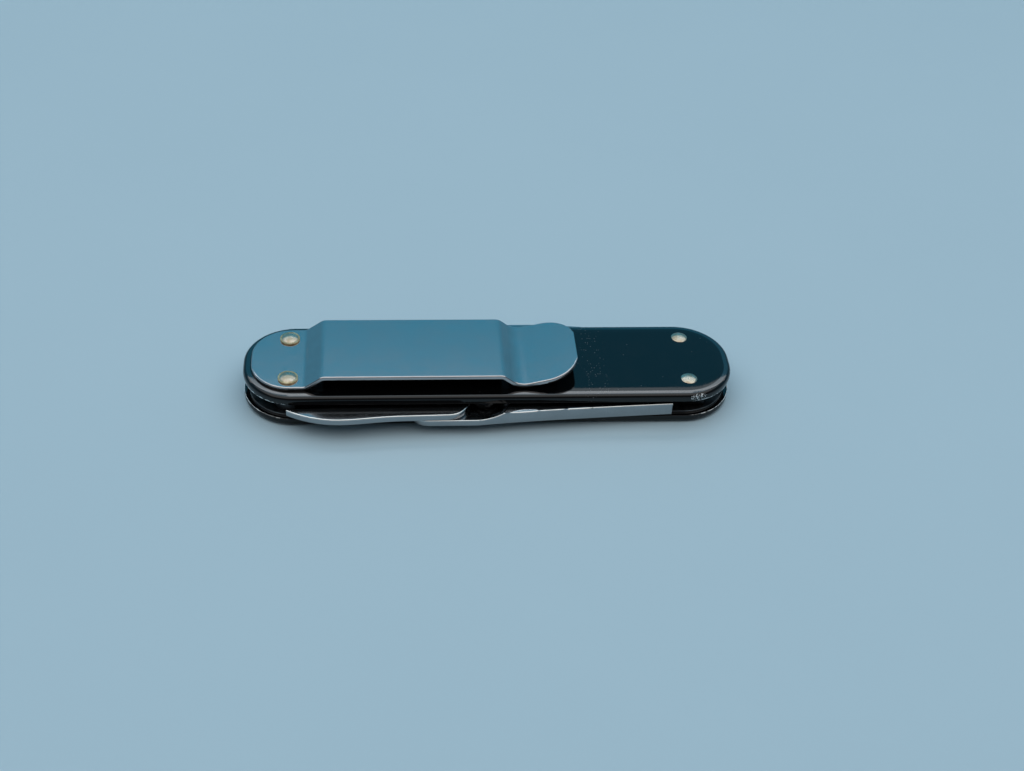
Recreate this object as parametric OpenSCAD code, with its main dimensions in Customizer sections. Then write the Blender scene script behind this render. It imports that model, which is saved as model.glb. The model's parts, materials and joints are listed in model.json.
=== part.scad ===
// Slim pocket knife with a money clip: folding scissors on the near side, a pen blade and a
// nail file on the far side. Millimetres, +Z up. +X runs along the handle to the scissors'
// pivot, -Y is the scissors' side. The origin is the centre of the back scale's outer face.

/* [Handle] */
// Overall length of the handle
handle_l = 74; // [70:0.5:80]
// Width of the handle scales
handle_w = 17.3; // [16.6:0.1:19]
// Corner radius of the handle, seen from above
corner_r = 7.8; // [5:0.1:8.2]
// Thickness of each outer scale
scale_t = 1.4; // [1.2:0.05:2]
// Rounding along each scale's outer edge
edge_r = 0.65; // [0.3:0.05:1.3]
// Width of the crowned border along each scale's outer edge
crown_w = 2.1; // [1.5:0.1:3]
// Slope of the crowned border where it meets the rounded edge
crown_a = 8; // [2:1:12]
// Thickness of the steel liner behind each scale
liner_t = 0.3; // [0.2:0.05:0.6]
// How far the liners sit back from the scales' edge
liner_in = 0.8; // [0.3:0.05:1.2]

/* [Rivets] */
// Radius of the rivets' pins
pin_r = 0.9; // [0.7:0.05:1.05]
// Radius of the rivets' domed heads
head_r = 1.25; // [1.2:0.05:1.6]
// Height of the rivets' domed heads
head_h = 0.35; // [0.2:0.05:0.5]
// Height of the straight rim under each sunk head
rim_h = 0.25; // [0.1:0.05:0.4]
// How far the sunk heads stay below the back face
flush = 0.02; // [0.01:0.01:0.1]
// Distance of the right rivets from the handle's right end
right_rivet_in = 7; // [6:0.1:8.5]
// Distance of the left rivets from the handle's left end
left_rivet_in = 6.85; // [6:0.05:8.5]
// Distance of the near rivets from the handle's near edge
near_rivet_in = 3.85; // [3.6:0.05:4.2]
// Distance of the far right rivet from the handle's far edge
far_right_in = 3.3; // [3:0.1:4]
// Distance of the far left rivet from the handle's far edge
far_left_in = 4; // [3.8:0.1:4.6]
// Radius of the brass collars on the clip
collar_r = 1.5; // [1.4:0.05:1.65]
// Thickness of the brass collars on the clip
collar_t = 0.25; // [0.1:0.05:0.4]

/* [Money clip] */
// Width of the clip
clip_w = 14.1; // [12.8:0.1:14.8]
// Thickness of the clip's sheet
clip_t = 0.6; // [0.5:0.05:1]
// Clear height under the raised part of the clip
clip_gap = 1.9; // [1.2:0.1:3]
// Distance of the clip's riveted end from the handle's left end
clip_end_in = 1.25; // [1.25:0.05:2]
// Length of the flat part that is riveted down
clip_seat_l = 7.7; // [7.5:0.1:9.5]
// Length of the raised flat part
clip_raised_l = 25.9; // [18:0.5:32]
// Length of the flared lip
clip_lip_l = 7.7; // [6:0.2:11]
// Slope of the rise beside the rivets
clip_rise_a = 36; // [25:1:60]
// Slope of the fall towards the lip
clip_fall_a = 38; // [25:1:60]
// Slope of the flared lip
clip_lip_a = 14; // [6:1:16]
// Radius of the clip's bends at the middle of the sheet
clip_bend_r = 1.2; // [0.8:0.1:1.5]
// Radius of the wider bend before the lip, at the middle of the sheet
clip_valley_r = 3.2; // [1:0.1:4]
// Gap between the scale and the lowest part of the lip
clip_lift = 0.3; // [0.05:0.05:0.4]
// Corner radius at the riveted end
clip_seat_r = 6; // [3:0.1:6.2]
// Corner radius of the flared lip
clip_lip_r = 4.8; // [2:0.1:6]

/* [Tools] */
// Thickness of the folded tools together
tool_t = 2; // [1.6:0.1:3]
// Radius of the tools' round tangs
tang_r = 3; // [2.8:0.05:3.2]
// Distance from the scissors' pivot to the flat on the outer side of their tang
tang_flat = 1.9; // [1.5:0.1:2.5]
// Radius of the bosses that anchor the springs
boss_r = 2.2; // [2:0.05:2.3]
// Play between the tools and each liner
side_play = 0.05; // [0.03:0.01:0.1]
// Gap between two tools that share the thickness
lap_gap = 0.04; // [0.03:0.01:0.1]
// Play between a tool and the pin it turns on
pivot_play = 0.03; // [0.02:0.01:0.08]
// Play round what is riveted fast
seat_play = 0.02; // [0.01:0.01:0.05]
// Gap between a spring's end and the tang it holds
spring_play = 0.05; // [0.03:0.01:0.1]
// Gap between the two springs
spring_gap = 0.25; // [0.2:0.05:0.4]
// Length of the nail nicks
nick_l = 6.2; // [4:0.2:8]
// Width of the nail nicks
nick_w = 1; // [0.8:0.1:1.4]
// Depth of the nail nicks
nick_d = 0.4; // [0.2:0.05:0.5]

/* [Scissors] */
// Length of the lever from the scissors' joint to its end
lever_l = 28.15; // [26:0.05:30]
// How far the lever's end stands out of the handle
lever_out = 0.05; // [0:0.05:0.5]
// How far the lever's inner corner lies outside the pivot
lever_in = 1.85; // [1.6:0.05:2.1]
// Gap between the lever's end and the tang
tang_clear = 0.4; // [0.3:0.05:0.8]
// How far the back of the scissors stands out of the handle
spine_out = 2.13; // [1.5:0.01:2.5]
// How far the lever's lap stands proud of the upper blade's back
lap_proud = 0.12; // [0:0.02:0.3]
// How far the widest part of the upper blade stands out of the handle
belly_out = 3.07; // [2.7:0.01:3.7]
// How far the upper blade's point stands out of the handle
point_out = 0.75; // [0.4:0.05:1.3]
// Distance from the upper blade's point to its widest part
belly_run = 7.6; // [6:0.2:9]
// Gap between the lower blade's point and the clip's rivet
point_clear = 0.42; // [0.3:0.02:0.8]
// Gap round the path of the lower blade
sweep_clear = 0.3; // [0.2:0.05:0.5]
// Distance of the joint from the pivot across the handle
joint_drop = 1.05; // [0.8:0.05:1.3]
// Radius of the round hubs at the scissors' joint
hub_r = 2.4; // [2.2:0.05:2.5]
// Gap between the upper blade's hub and the lever
hub_clear = 0.2; // [0.1:0.05:0.3]
// Gap between the lower blade's hub and the tang arm
step_clear = 0.3; // [0.2:0.05:0.4]
// Radius of the scissors' joint rivet
joint_pin_r = 0.8; // [0.6:0.05:1]
// How much wider the joint rivet flares at its ends
flare_w = 0.24; // [0.15:0.01:0.3]
// Radius of the cutter that leaves the run-out on the lever
ramp_r = 5.6; // [4:0.2:7]
// Width of the scissors' ground edges
shear_w = 0.5; // [0.4:0.05:1]
// Thickness left along the scissors' cutting edges
shear_t = 0.38; // [0.2:0.02:0.6]
// Distance from the joint to the thumb facet on the lever
facet_run = 6.15; // [5:0.05:8]
// Length of the thumb facet
facet_l = 4.5; // [3:0.1:6]
// Width of the thumb facet
facet_w = 0.76; // [0.5:0.02:1]
// Depth of the thumb facet at the lever's outer edge
facet_d = 0.12; // [0.06:0.02:0.3]
// Distance from the joint to the thin facet behind the thumb facet
thin_run = 14.5; // [12:0.1:17]
// Length of the thin facet
thin_l = 5; // [3:0.1:6]
// Width of the thin facet
thin_w = 0.35; // [0.2:0.01:0.5]
// Thickness of the lever's leaf spring
leaf_t = 0.3; // [0.2:0.05:0.4]
// Room for the leaf spring between lever and tang arm
leaf_room = 0.75; // [0.6:0.05:0.9]
// Gap between the leaf spring and the lever
leaf_gap = 0.05; // [0.03:0.01:0.1]
// Distance from the joint to the leaf spring's free end
leaf_free_run = 7; // [6:0.5:10]
// Distance from the leaf spring's foot to the lever's end
leaf_foot_in = 3; // [2:0.5:6]
// Length of the leaf spring's foot in the tang arm
leaf_foot = 1.1; // [0.8:0.05:1.3]
// How much narrower the leaf spring is than the tools, on each side
leaf_in = 0.2; // [0.1:0.05:0.4]

/* [Blade and file] */
// How far the pen blade's back stands out of the handle
blade_out = 2.45; // [1.8:0.05:2.8]
// Width of the pen blade
blade_w = 6.3; // [5.6:0.05:6.8]
// Width of the pen blade's ground bevel
bevel_w = 3.4; // [2:0.1:4]
// Thickness left along the pen blade's edge
blade_edge_t = 0.22; // [0.1:0.02:0.4]
// Radius of the notch between the pen blade's edge and its tang
choil_r = 0.6; // [0.4:0.05:0.8]
// How far the nail file's back stands out of the handle
file_out = 1.5; // [1:0.05:2]
// Width of the nail file
file_w = 4.4; // [3.6:0.05:5]

/* [Hidden] */
$fn = 64;

// Half sizes of the handle, and a length that reaches past everything
half_l = handle_l / 2;
half_w = handle_w / 2;
near_edge = -half_w;
far = 200;
fine_fn = 96;

// Levels of the stack, from the back face up. Two tools share the space between the liners
liner_z = scale_t;
tool_z0 = scale_t + liner_t + side_play;
tool_z1 = tool_z0 + tool_t;
half_t = (tool_t - lap_gap) / 2;
lower_z1 = tool_z0 + half_t;
upper_z0 = tool_z1 - half_t;
front_liner_z = tool_z1 + side_play;
front_z = front_liner_z + liner_t;
top_z = front_z + scale_t;
clip_top_z = top_z + clip_t;
collar_top_z = clip_top_z + collar_t;
least_rim = 0.1;
edge = min(edge_r, scale_t - least_rim);

// Rivet places: the scissors' pivot, the blade spring's anchor, the clip's rivet and the
// pivot that the pen blade and the nail file share
pivot = [half_l - right_rivet_in, near_rivet_in - half_w];
anchor = [half_l - right_rivet_in, half_w - far_right_in];
hold = [left_rivet_in - half_l, near_rivet_in - half_w];
hinge = [left_rivet_in - half_l, half_w - far_left_in];
rivets = [pivot, anchor, hold, hinge];
tail_z = flush + head_h;
sink_h = tail_z + rim_h;

// Bands of the two springs between the tangs, and how far each thins or swells on its way
band_lo = pivot.y + tang_r + spring_play;
band_hi = hinge.y - tang_r - spring_play;
band_mid = (band_lo + band_hi) / 2;
band_sag = 0.35;

// Scissors: the lever's end clears the tang, and the joint lies one lever length away
lever_x = pivot.x - sqrt(pow(tang_r + tang_clear, 2) - pow(lever_in, 2));
joint = [lever_x - lever_l, pivot.y - joint_drop];
lever_end_in = [lever_x, pivot.y - lever_in];
lever_end_out = [lever_x, near_edge - lever_out];
lever_root_run = 4;
lever_root_in = 0.4;
lever_root = joint + [lever_root_run, lever_root_in - hub_r];
lap_run = 1;
lap_lean = 1.34;
lap_out = [joint.x - lap_run, near_edge - spine_out - lap_proud];
lap_in = [lap_out.x + lap_lean, lever_root.y];

// Points of the two blades, clear of the clip's rivet, and the ends of the upper cutting edge
tip_in = 0.2;
lower_a = 7.4;
upper_point = [hold.x - tip_in, near_edge - point_out];
lower_reach = norm(joint - hold) - pin_r - point_clear;
lower_point = joint - lower_reach * [cos(lower_a), sin(lower_a)];
edge_root_in = [2.2, 1.1];
edge_root = joint - edge_root_in;
tip_root_run = [2.05, 0.8];
upper_tip_root = upper_point + tip_root_run;

// Ends of the leaf spring between the lever and the tang arm
leaf_x0 = joint.x + leaf_free_run;
leaf_x1 = lever_x - leaf_foot_in;

// Backs, edges and points of the far tools, and where their lower sides leave the tang
blade_back = half_w + blade_out;
blade_edge = blade_back - blade_w;
blade_point_run = [-2, 2.3];
blade_point = anchor + blade_point_run;
file_back = half_w + file_out;
file_edge = file_back - file_w;
file_point_in = 5;
file_point = [anchor.x - file_point_in, file_back - file_w / 2];
tang_side = tang_r * [0.8, -0.45];

// Straight line through two points, at x
function line_y(a, b, x) = a.y + (x - a.x) * (b.y - a.y) / (b.x - a.x);

// Point on the unit circle at an angle
function heading(a) = [cos(a), sin(a)];

// Points of a smooth curve from a to d, led by b and c, without its last point
function curve(a, b, c, d, n = 10) = [for (i = [0:n - 1])
    let (t = i / n, s = 1 - t)
    s * s * s * a + 3 * s * s * t * b + 3 * s * t * t * c + t * t * t * d];

// Radius of the cutter that leaves a hollow of this length and depth
function cutter_r(l, d) = (l * l / 4 + d * d) / (2 * d);

// Inner side of the lever, and both sides of the tang arm beside it
arm_hub_in = 0.1;
arm_tang_in = 0.35;
function lever_y(x) = line_y(lever_root, lever_end_in, x);
function arm_out(x) = lever_y(x) + leaf_room;
function arm_in(x) = line_y(joint + [0, hub_r - arm_hub_in], pivot + [0, tang_r - arm_tang_in], x);

// A plan shape between two levels
module layer(z0, z1) {
    translate([0, 0, z0])
        linear_extrude(z1 - z0)
            children();
}

// A rod along Z between two levels
module rod(p, r, z0, z1) {
    translate([p.x, p.y, z0])
        cylinder(r = r, h = z1 - z0);
}

// A cone along Z between two levels
module taper(p, r0, r1, z0, z1) {
    translate([p.x, p.y, z0])
        cylinder(r1 = r0, r2 = r1, h = z1 - z0);
}

// A low spherical cap that stands on z = 0
module dome(r, h) {
    ball = cutter_r(2 * r, h);
    intersection() {
        translate([0, 0, h - ball])
            sphere(r = ball);
        cylinder(r = 2 * r, h = 2 * h);
    }
}

// Plan outline with round corners of one radius
module round_plan(l, w, r) {
    square([l - 2 * r, w], center = true);
    square([l, w - 2 * r], center = true);
    for (x = [r - l / 2, l / 2 - r], y = [r - w / 2, w / 2 - r])
        translate([x, y])
            circle(r = r);
}

// Section of a plate from its middle to its edge: a flat, a crowned border and a rounded corner,
// each tangent to the next
module edge_section(reach, t, r) {
    flat = reach - crown_w;
    crown_r = r + (crown_w - r) / sin(crown_a);
    corner_z = t - crown_r + (crown_r - r) * cos(crown_a);
    square([flat, t]);
    square([reach, corner_z]);
    intersection() {
        translate([flat, t - crown_r])
            circle(r = crown_r);
        translate([flat, 0])
            square([crown_r * sin(crown_a), t]);
    }
    translate([reach - r, corner_z])
        intersection() {
            circle(r = r);
            square(r);
        }
}

// Both halves of that section
module full_section(reach, t, r) {
    edge_section(reach, t, r);
    mirror([1, 0])
        edge_section(reach, t, r);
}

// A handle plate whose upper outer edge is rounded
module rounded_plate() {
    straight = handle_l - 2 * corner_r;
    end_flat = handle_w - 2 * corner_r;
    rotate([90, 0, 90])
        linear_extrude(straight, center = true)
            full_section(half_w, scale_t, edge);
    rotate([90, 0, 0])
        linear_extrude(end_flat, center = true)
            full_section(half_l, scale_t, edge);
    for (x = [-straight / 2, straight / 2], y = [-end_flat / 2, end_flat / 2])
        translate([x, y, 0])
            rotate_extrude()
                edge_section(corner_r, scale_t, edge);
}

// The four rivet bores, through everything
module rivet_bores() {
    for (p = rivets)
        rod(p, pin_r + seat_play, -far, far);
}

module front_scale() {
    color("#17181b")
        difference() {
            translate([0, 0, front_z])
                rounded_plate();
            rivet_bores();
        }
}

module back_scale() {
    color("#17181b")
        difference() {
            translate([0, 0, scale_t])
                mirror([0, 0, 1])
                    rounded_plate();
            rivet_bores();
            for (p = rivets)
                rod(p, head_r + seat_play, -far, sink_h + seat_play);
        }
}

// A thin liner plate on level z
module liner(z) {
    difference() {
        layer(z, z + liner_t)
            round_plan(handle_l - 2 * liner_in, handle_w - 2 * liner_in, corner_r - liner_in);
        rivet_bores();
    }
}

module front_liner() {
    color("#80868c")
        liner(front_liner_z);
}

module back_liner() {
    color("#80868c")
        liner(liner_z);
}

// Side view of the clip: straight runs joined by round bends, chained from the riveted end
function run_end(p, h, l) = p + l * heading(h);
function bend_hub(p, h, a, r) = p + sign(a) * r * heading(h + 90);
function bend_at(p, h, a, r, k) = bend_hub(p, h, a, r) + sign(a) * r * heading(h + k * a - 90);
function bend_end(p, h, a, r) = bend_at(p, h, a, r, 1);

// One face of the sheet round a bend of radius r that starts at p with heading h and turns by a
function bend_face(p, h, a, r, side, n = 8) = [for (i = [0:n])
    bend_at(p, h, a, r, i / n) + side * clip_t / 2 * heading(h + a * i / n + 90)];

clip_start = [clip_end_in - half_l, top_z + clip_t / 2];
rise_bend = 2 * clip_bend_r * (1 - cos(clip_rise_a));
rise_l = (clip_gap - rise_bend) / sin(clip_rise_a);
fall_room = (clip_gap - clip_lift) / (1 - cos(clip_fall_a));
valley_r = min(clip_valley_r, fall_room - clip_bend_r);
fall_bend = (clip_bend_r + valley_r) * (1 - cos(clip_fall_a));
fall_l = (clip_gap - clip_lift - fall_bend) / sin(clip_fall_a);
valley_a = clip_fall_a + clip_lip_a;
clip_p1 = run_end(clip_start, 0, clip_seat_l);
clip_p2 = bend_end(clip_p1, 0, clip_rise_a, clip_bend_r);
clip_p3 = run_end(clip_p2, clip_rise_a, rise_l);
clip_p4 = bend_end(clip_p3, clip_rise_a, -clip_rise_a, clip_bend_r);
clip_p5 = run_end(clip_p4, 0, clip_raised_l);
clip_p6 = bend_end(clip_p5, 0, -clip_fall_a, clip_bend_r);
clip_p7 = run_end(clip_p6, -clip_fall_a, fall_l);
clip_p8 = bend_end(clip_p7, -clip_fall_a, valley_a, valley_r);
clip_end = run_end(clip_p8, clip_lip_a, clip_lip_l);

// One whole face of the sheet, from the riveted end to the lip
function clip_face(side) = concat(
    [clip_start + side * clip_t / 2 * heading(90)],
    bend_face(clip_p1, 0, clip_rise_a, clip_bend_r, side),
    bend_face(clip_p3, clip_rise_a, -clip_rise_a, clip_bend_r, side),
    bend_face(clip_p5, 0, -clip_fall_a, clip_bend_r, side),
    bend_face(clip_p7, -clip_fall_a, valley_a, valley_r, side, 14),
    [clip_end + side * clip_t / 2 * heading(clip_lip_a + 90)]);

module clip_side() {
    under = clip_face(-1);
    last = len(under) - 1;
    polygon(concat(clip_face(1), [for (i = [0:last]) under[last - i]]));
}

// One end of the clip's plan: two round corners and the strip between them
module clip_plan_end(x, r, inward) {
    for (y = [r - clip_w / 2, clip_w / 2 - r])
        translate([x + inward * r, y])
            circle(r = r);
    translate([x + inward * r / 2, 0])
        square([r, clip_w - 2 * r], center = true);
}

module clip_plan() {
    clip_plan_end(clip_start.x, clip_seat_r, 1);
    clip_plan_end(clip_end.x, clip_lip_r, -1);
    translate([clip_start.x + clip_seat_r, -clip_w / 2])
        square([clip_end.x - clip_lip_r - clip_start.x - clip_seat_r, clip_w]);
}

module money_clip() {
    color("#8b949d")
        difference() {
            intersection() {
                rotate([90, 0, 0])
                    linear_extrude(2 * clip_w, center = true)
                        clip_side();
                layer(top_z - clip_t, top_z + far)
                    clip_plan();
            }
            rivet_bores();
        }
}

// A flat brass ring between the clip and a rivet's head
module collar(p) {
    color("#b0905a")
        difference() {
            rod(p, collar_r, clip_top_z, collar_top_z);
            rod(p, pin_r + seat_play, 0, far);
        }
}

module clip_rivet_collar() {
    collar(hold);
}

module tool_rivet_collar() {
    collar(hinge);
}

// A rivet with a domed head at level z and its other head sunk in the back scale
module rivet(p, z) {
    color("#c4bdae")
        union() {
            rod(p, pin_r, tail_z, z + flush);
            rod(p, head_r, tail_z, sink_h);
            translate([p.x, p.y, tail_z])
                mirror([0, 0, 1])
                    dome(head_r, head_h);
            translate([p.x, p.y, z])
                dome(head_r, head_h);
        }
}

module scissors_pivot_rivet() {
    rivet(pivot, top_z);
}

module blade_spring_rivet() {
    rivet(anchor, top_z);
}

module clip_rivet() {
    rivet(hold, collar_top_z);
}

module tool_pivot_rivet() {
    rivet(hinge, collar_top_z);
}

// Flat spring from the clip's rivet to the scissors' tang, relieved under the lower blade's path
module scissors_backspring() {
    tip_x = pivot.x + tang_r / 2;
    hi = band_mid - spring_gap / 2;
    sag_y = band_lo - band_sag;
    full_run = 4.5;
    lean_run = 6.5;
    boss_top = [-0.3, 0.85];
    boss_side = [0.85, 0.3];
    color("#9aa1a8")
        difference() {
            union() {
                rod(hold, boss_r, tool_z0, tool_z1);
                layer(tool_z0, tool_z1)
                    polygon([[tip_x, band_lo], [tip_x, hi], [hold.x + full_run, hi],
                        hold + boss_r * boss_top, hold + boss_r * boss_side,
                        [hold.x + lean_run, sag_y], [pivot.x - tang_r, band_lo]]);
            }
            rod(hold, pin_r + seat_play, 0, far);
            intersection() {
                rod(joint, lower_reach + sweep_clear, 0, upper_z0);
                translate([-far, sag_y - far, 0])
                    cube([2 * far, far, far]);
            }
        }
}

// Flat spring from the far right rivet to the tangs of the blade and the file
module blade_backspring() {
    tip_x = hinge.x - tang_r / 8;
    lo = band_mid + spring_gap / 2;
    full_run = 5;
    lean_run = 6;
    swell = 0.5;
    boss_low = [0.35, -0.85];
    boss_side = [-0.8, -0.4];
    color("#9aa1a8")
        difference() {
            union() {
                rod(anchor, boss_r, tool_z0, tool_z1);
                layer(tool_z0, tool_z1)
                    polygon([[tip_x, lo], [anchor.x - full_run, lo],
                        anchor + boss_r * boss_low, anchor + boss_r * boss_side,
                        [anchor.x - lean_run, band_hi + swell], [hinge.x + tang_r, band_hi],
                        [tip_x, band_hi]]);
            }
            rod(anchor, pin_r + seat_play, 0, far);
        }
}

// Back of the upper blade from its point to the neck beside the joint
function upper_back() =
    let (belly = [upper_point.x + belly_run, near_edge - belly_out],
        fade_run = 8.7,
        fade_out = 0.2,
        fade = [belly.x + fade_run, near_edge - spine_out - fade_out],
        shoulder_run = 5.7,
        shoulder = [joint.x - shoulder_run, near_edge - spine_out],
        neck_share = 0.95,
        neck_a = 218,
        neck = joint + neck_share * hub_r * heading(neck_a),
        point_lead = [1.85, -1.2],
        belly_lead = [2.8, 0],
        fade_lead = [3.5, 0.17],
        shoulder_lead = [1.7, 0.03],
        neck_lead = [2.5, 0.63])
    concat(
        curve(upper_point, upper_point + point_lead, belly - belly_lead, belly),
        curve(belly, belly + belly_lead, fade - fade_lead, fade),
        [fade],
        curve(shoulder, shoulder + shoulder_lead, shoulder + neck_lead, neck),
        [neck]);

// Slanting cut that leaves a ground edge along the line from a to b. The blade lies to the left
// of that line for a width above zero. The cut is d deep at the edge, from level z
module grind(a, b, w, d, z) {
    over = 2;
    slope = d / abs(w);
    translate([a.x, a.y, z])
        rotate(atan2(b.y - a.y, b.x - a.x))
            rotate([90, 0, 90])
                linear_extrude(norm(b - a) + over)
                    polygon([[w, 0], [-sign(w) * over, -slope * (abs(w) + over)],
                        [-sign(w) * over, sign(d) * over], [w, sign(d) * over]]);
}

// Conical seat of the joint rivet's flared end, between level z and the outside, on side s
module flare_seat(z, s, play) {
    r = joint_pin_r + play;
    translate([joint.x, joint.y, z])
        mirror([0, 0, s < 0 ? 1 : 0])
            translate([0, 0, -flush - flare_w]) {
                cylinder(r1 = r, r2 = r + flare_w, h = flare_w);
                translate([0, 0, flare_w])
                    cylinder(r = r + flare_w, h = 2 * flush);
            }
}

// The scissors' round tang, with a flat on its outer side
module scissors_tang() {
    difference() {
        rod(pivot, tang_r, tool_z0, tool_z1);
        translate([pivot.x - tang_r, pivot.y - tang_flat - tang_r, 0])
            cube([2 * tang_r, tang_r, far]);
    }
}

module scissors_upper_blade() {
    step_x = joint.x + hub_r + step_clear;
    arm_share = 0.8;
    arm_x = pivot.x - arm_share * tang_r;
    arm = [[step_x, arm_out(step_x)], [arm_x, arm_out(arm_x)], pivot, [pivot.x, arm_in(pivot.x)],
        [step_x, arm_in(step_x)]];
    grind_in = [0.6, 0.05];
    grind_start = edge_root - grind_in;
    tip_back = [0.12, 0.2];
    slit_y = lever_y(leaf_x1) + leaf_gap + leaf_t;
    color("#b4bac0")
        difference() {
            union() {
                layer(upper_z0, tool_z1)
                    polygon(concat(upper_back(), [joint - [0, hub_r / 2]], arm,
                        [[joint.x, arm_in(joint.x)], joint - [hub_r / 2, 0], edge_root,
                        upper_tip_root, upper_point + tip_back]));
                layer(tool_z0, tool_z1)
                    polygon(arm);
                rod(joint, hub_r, upper_z0, tool_z1);
                scissors_tang();
            }
            rod(pivot, pin_r + pivot_play, 0, far);
            rod(joint, joint_pin_r + seat_play, 0, far);
            flare_seat(tool_z1, 1, seat_play);
            grind(grind_start, upper_tip_root, shear_w, half_t - shear_t, tool_z1);
            layer(0, far)
                translate([leaf_x1 - leaf_t - seat_play, slit_y])
                    square([leaf_t + 2 * seat_play, leaf_foot + seat_play]);
        }
}

// Outer side of the lever from its end to the lap
function lever_back() =
    let (end_lead = [15.15, 0.85], lap_lead = [5, 0.65])
    curve(lever_end_out, lever_end_out - end_lead, lap_out + lap_lead, lap_out, 12);

// Shallow facet on the lever's upper outer edge, sloping down and outward as the thumb facet does
module lever_facet(run, l, w) {
    d = facet_d * w / facet_w;
    r = cutter_r(l, d);
    x = joint.x + run;
    translate([x, lookup(x, lever_back()), tool_z1 - d])
        rotate([atan2(facet_d, facet_w), 0, 0])
            translate([0, 0, r])
                rotate([90, 0, 0])
                    cylinder(r = r, h = 4 * facet_w, center = true, $fn = fine_fn);
}

module scissors_lever_blade() {
    ricasso_run = 8.4;
    ricasso = [joint.x - ricasso_run, lap_out.y];
    heel_run = 11;
    heel_drop = 1.65;
    heel = [joint.x - heel_run, edge_root.y - heel_drop];
    hub_share = 0.97;
    hub_a = 130;
    hub_side = joint + hub_share * hub_r * heading(hub_a);
    hub_end_run = 1.4;
    hub_end_in = 0.5;
    hub_end = joint + [hub_end_run, hub_end_in - hub_r];
    lean = atan2(lap_in.x - lap_out.x, lap_in.y - lap_out.y);
    tip_half = [0, 0.12];
    ricasso_lead = [1.6, 0];
    heel_lead = [0.2, -1.4];
    tip_lead = [4.5, 1.9];
    hub_lead = [9, 0.9];
    grind_in = [0.3, 0];
    ramp_lift = 0.02;
    color("#b4bac0")
        difference() {
            union() {
                layer(tool_z0, lower_z1)
                    polygon(concat(lever_back(), [lap_out],
                        curve(ricasso, ricasso - ricasso_lead, heel + heel_lead, heel), [heel],
                        [lower_point - tip_half],
                        curve(lower_point + tip_half, lower_point + tip_lead,
                            hub_side - hub_lead, hub_side),
                        [hub_side, joint, hub_end, lever_root, lever_end_in]));
                layer(tool_z0, tool_z1)
                    polygon(concat(lever_back(), [lap_out, lap_in, lever_root, lever_end_in]));
                rod(joint, hub_r, tool_z0, lower_z1);
            }
            translate([lap_out.x, lap_out.y, lower_z1 + ramp_r + ramp_lift])
                rotate([90, 0, -lean])
                    cylinder(r = ramp_r, h = far, center = true, $fn = fine_fn);
            rod(joint, hub_r + hub_clear, lower_z1, far);
            rod(joint, joint_pin_r + pivot_play, 0, far);
            flare_seat(tool_z0, -1, pivot_play);
            grind(heel - grind_in, lower_point - tip_half, -shear_w, shear_t - half_t, tool_z0);
            lever_facet(facet_run, facet_l, facet_w);
            lever_facet(thin_run, thin_l, thin_w);
        }
}

// The rivet's ends flare into the conical seats, just below the blades' faces
module scissors_joint_rivet() {
    z0 = tool_z0 + flush;
    z1 = tool_z1 - flush;
    color("#a9a295")
        union() {
            rod(joint, joint_pin_r, z0, z1);
            taper(joint, joint_pin_r, joint_pin_r + flare_w, z1 - flare_w, z1);
            taper(joint, joint_pin_r + flare_w, joint_pin_r, z0, z0 + flare_w);
        }
}

module scissors_leaf_spring() {
    lo0 = lever_y(leaf_x0) + leaf_gap;
    lo1 = lever_y(leaf_x1) + leaf_gap;
    hi1 = lo1 + leaf_t;
    color("#9aa1a8")
        layer(tool_z0 + leaf_in, tool_z1 - leaf_in)
            polygon([[leaf_x0, lo0], [leaf_x1, lo1], [leaf_x1, hi1 + leaf_foot],
                [leaf_x1 - leaf_t, hi1 + leaf_foot], [leaf_x1 - leaf_t, hi1],
                [leaf_x0, lo0 + leaf_t]]);
}

// Shallow nail nick, cut by a wide round cutter that dips in from level z on side s
module nail_nick(p, z, s) {
    r = cutter_r(nick_l, nick_d);
    translate([p.x, p.y, z + s * (r - nick_d)])
        rotate([90, 0, 0])
            cylinder(r = r, h = nick_w, center = true, $fn = fine_fn);
}

module pen_blade() {
    crown_run = 13;
    crown_drop = 0.1;
    crown = [hinge.x + crown_run, blade_back - crown_drop];
    bend_run = 21;
    bend = [blade_point.x - bend_run, blade_back];
    rise_run = 1.2;
    rise_in = 0.3;
    rise = hinge + [rise_run, tang_r - rise_in];
    root_run = 8.5;
    tip_root = [blade_point.x - root_run, blade_edge];
    heel_run = 8.2;
    heel = [hinge.x + heel_run, blade_edge];
    rise_lead = [4, 1.6];
    crown_lead = [5, 0.2];
    bend_lead = [6.5, -0.1];
    point_lead = [-1.4, 1.5];
    belly_lead = [-1.6, -1.3];
    root_lead = [3, 0];
    choil_in = 0.1;
    choil = heel - [choil_r / 2, choil_in];
    grind_d = (half_t - blade_edge_t) / 2;
    grind_end = [blade_point.x, blade_edge];
    nick_run = 20;
    nick_in = 1.3;
    nick = [blade_point.x - nick_run, blade_back - nick_in];
    color("#bcc2c8")
        difference() {
            union() {
                rod(hinge, tang_r, upper_z0, tool_z1);
                layer(upper_z0, tool_z1)
                    polygon(concat([hinge], curve(rise, rise + rise_lead, crown - crown_lead, crown),
                        [crown], curve(bend, bend + bend_lead, blade_point + point_lead, blade_point),
                        curve(blade_point, blade_point + belly_lead, tip_root + root_lead, tip_root),
                        [tip_root, heel, heel - [2 * choil_r, 0], hinge + tang_side]));
            }
            rod(hinge, pin_r + pivot_play, 0, far);
            rod(choil, choil_r, 0, far);
            grind(heel, grind_end, bevel_w, grind_d, tool_z1);
            grind(heel, grind_end, bevel_w, -grind_d, upper_z0);
            nail_nick(nick, tool_z1, 1);
        }
}

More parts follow.
